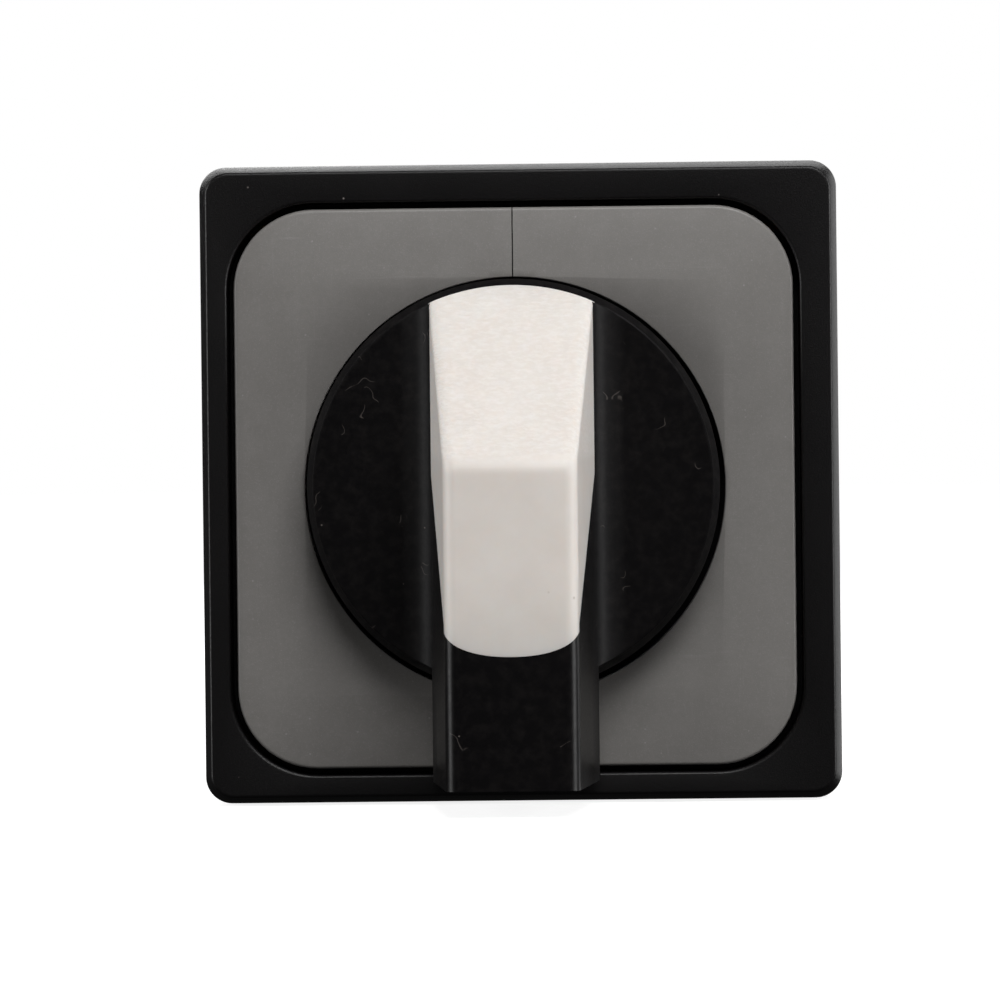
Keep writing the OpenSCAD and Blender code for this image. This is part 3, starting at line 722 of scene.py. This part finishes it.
def make_fillet(side):
    """The fillet between the handle's side and the disc's face."""
    r = 1.3
    wall = BASE_HALF - SIDE_SLOPE * r
    reach = r + SIDE_SLOPE * r
    outline = [(side * (BASE_HALF - 0.3), DISC_FACE + 0.3)]
    outline.append((side * (BASE_HALF + r), DISC_FACE + 0.3))
    for s, c in quarter(6):
        outline.append((side * (wall + reach * (1 - s)), DISC_FACE - r * (1 - c)))
    outline.append((side * (wall - 0.1), DISC_FACE - r))
    piece = along_z("fillet", outline, -RIM_R, RIM_R)
    return combine("INTERSECT", piece, rod("rim", RIM_R - 0.05, DISC_FACE - 3, DISC_FACE + 1))


def make_knob():
    """The black knob and its white insert."""
    body = make_handle_form()
    insert = new_object("pointer_cap", body.data.copy())
    combine("DIFFERENCE", body, make_insert_zone())
    combine("INTERSECT", insert, make_insert_zone())
    r, chamfer = DISC_R, 0.95
    disc = revolve(
        "knob_black",
        [
            (HUB_R, HUB_END),
            (HUB_R, DISC_BACK),
            (r - 0.2, DISC_BACK),
            (r, DISC_BACK - 0.2),
            (r, DISC_FACE + chamfer + 0.06),
            (r - 0.03, DISC_FACE + chamfer - 0.03),
            (RIM_R + 0.05, DISC_FACE + 0.08),
            (RIM_R + 0.02, DISC_FACE + 0.02),
            (RIM_R - 0.03, DISC_FACE),
            (RIM_R - 0.15, DISC_FACE),
        ],
    )
    for side in (-1, 1):
        fillet = make_fillet(side)
        space = new_object("space", insert.data.copy())
        combine("DIFFERENCE", fillet, space)
        combine("UNION", disc, fillet)
    combine("UNION", disc, body)
    socket = block("socket", (-SHAFT_HALF, SHAFT_LOW.y, -SHAFT_HALF), (SHAFT_HALF, 9, SHAFT_HALF))
    combine("DIFFERENCE", disc, socket)
    round_edges(insert, 0.28, angle=50, segments=4)
    finish_piece(disc, "knob_body", 30)
    finish_piece(insert, "pointer_insert", 40)


# ---- Pieces behind the panel ----


def soften(node, name, width):
    """A copy of a CAD node with its edges rounded, which stands for it."""
    mesh = NODES[node].data.copy()
    piece = new_object(name, mesh)
    mesh.transform(Matrix.Scale(1 / MM, 4))
    bm = bmesh.new()
    bm.from_mesh(mesh)
    bmesh.ops.remove_doubles(bm, verts=bm.verts, dist=0.0005)
    bmesh.ops.dissolve_limit(
        bm, angle_limit=math.radians(1), verts=bm.verts, edges=bm.edges, delimit={"NORMAL"}
    )
    bm.to_mesh(mesh)
    bm.free()
    round_edges(piece, width, angle=40, segments=2)
    return finish_piece(piece, node, even=True)


def make_contact_spring(stage, side):
    """A contact spring, with one end on the housing's wall and the other on a bridge: a smoothly
    shaded copy of its CAD mesh, which stands for it.
    """
    node = f"stage_{stage}_spring_{side}"
    piece = new_object(f"stage_{stage}_coil_{side}", NODES[node].data.copy())
    piece.data.shade_smooth()
    piece.data.set_sharp_from_angle(angle=math.radians(60))
    stand_for(piece, node)
    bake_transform(piece)


def make_rear_pieces():
    soften("latch_housing", "latch_case", 0.3)
    soften("latch_cover", "latch_lid", 0.2)
    soften("rear_cover", "rear_lid", 0.3)
    soften("tie_screws", "tie_screw_set", 0.15)
    for n in (1, 2, 3):
        soften(f"stage_{n}_housing", f"stage_{n}_case", 0.2)
        soften(f"stage_{n}_clamps", f"stage_{n}_clamp_plates", 0.12)
        soften(f"stage_{n}_terminal_screws", f"stage_{n}_screw_set", 0.12)
        make_contact_spring(n, "left")
        make_contact_spring(n, "right")


# ---- Light, floor and camera ----


def area_light(name, place, aim, size, power):
    data = bpy.data.lights.new(name, "AREA")
    data.shape = "RECTANGLE"
    data.size, data.size_y = size
    data.energy = power
    light = bpy.data.objects.new(name, data)
    SCENE.collection.objects.link(light)
    light.location = place
    light.rotation_mode = "QUATERNION"
    light.rotation_quaternion = (Vector(aim) - Vector(place)).to_track_quat("-Z", "Y")


def make_world():
    """Soft light all round, with a white backdrop where nothing else is seen."""
    world = bpy.data.worlds.new("studio")
    world.use_nodes = True
    tree = world.node_tree
    background = tree.nodes["Background"]
    path = tree.nodes.new("ShaderNodeLightPath")
    mix = tree.nodes.new("ShaderNodeMix")
    mix.data_type = "RGBA"
    tree.links.new(path.outputs["Is Camera Ray"], mix.inputs[0])
    mix.inputs[6].default_value = (0.03, 0.03, 0.03, 1)
    mix.inputs[7].default_value = (1, 1, 1, 1)
    tree.links.new(mix.outputs[2], background.inputs["Color"])
    SCENE.world = world


def make_floor():
    half = 4.5
    level = cad_low.z - 0.0002
    bm = bmesh.new()
    corners = [(-half, -half), (half, -half), (half, half), (-half, half)]
    bm.faces.new([bm.verts.new((x, y, level)) for x, y in corners])
    floor = from_bmesh("floor", bm)
    floor.data.materials.append(floor_material())
    floor.visible_glossy = False
    floor.visible_diffuse = False


def make_camera():
    """Nearly straight on to the front, a little to the right of and above the shaft's axis."""
    distance = 0.450
    view_width = 0.07519
    to_right, above, roll = math.radians(1.15), math.radians(0.4), math.radians(0.65)
    data = bpy.data.cameras.new("camera")
    data.sensor_width = 36
    data.lens = data.sensor_width * distance / view_width
    data.clip_start, data.clip_end = 0.01, 10
    camera = bpy.data.objects.new("camera", data)
    SCENE.collection.objects.link(camera)
    aim = Vector((-1.09, BEZEL_FRONT, -1.11)) * MM
    back = Vector(
        (
            math.sin(to_right) * math.cos(above),
            -math.cos(to_right) * math.cos(above),
            math.sin(above),
        )
    )
    camera.location = aim + back * distance
    camera.rotation_mode = "QUATERNION"
    turn = (-back).to_track_quat("-Z", "Y").to_matrix().to_4x4()
    camera.rotation_quaternion = (turn @ Matrix.Rotation(-roll, 4, "Z")).to_quaternion()
    SCENE.camera = camera


SCENE.view_settings.view_transform = "Standard"
make_camera()
make_world()
make_floor()
area_light("key_above", (0.12, -0.46, 0.46), (0, 0, 0), (0.40, 0.30), 2.8)
area_light("left_side", (-0.60, -0.18, 0.10), (0, 0, 0), (0.30, 0.40), 2.4)
area_light("right_side", (0.60, -0.18, 0.10), (0, 0, 0), (0.30, 0.40), 2.6)
area_light("top_rear", (0.05, 0.35, 0.36), (0, 0, 0), (0.40, 0.30), 1.0)
area_light("right_rear", (0.36, 0.36, 0.05), (0, 0, 0), (0.30, 0.40), 0.6)
area_light("rear_fill", (-0.25, 0.60, 0.35), (0, 0.03, 0), (0.40, 0.40), 2.0)

for node, piece in NODES.items():
    piece.data.materials.clear()
    piece.data.materials.append(MATERIALS[SLOT_OF[node]])

make_bezel()
make_plate()
make_knob()
make_rear_pieces()
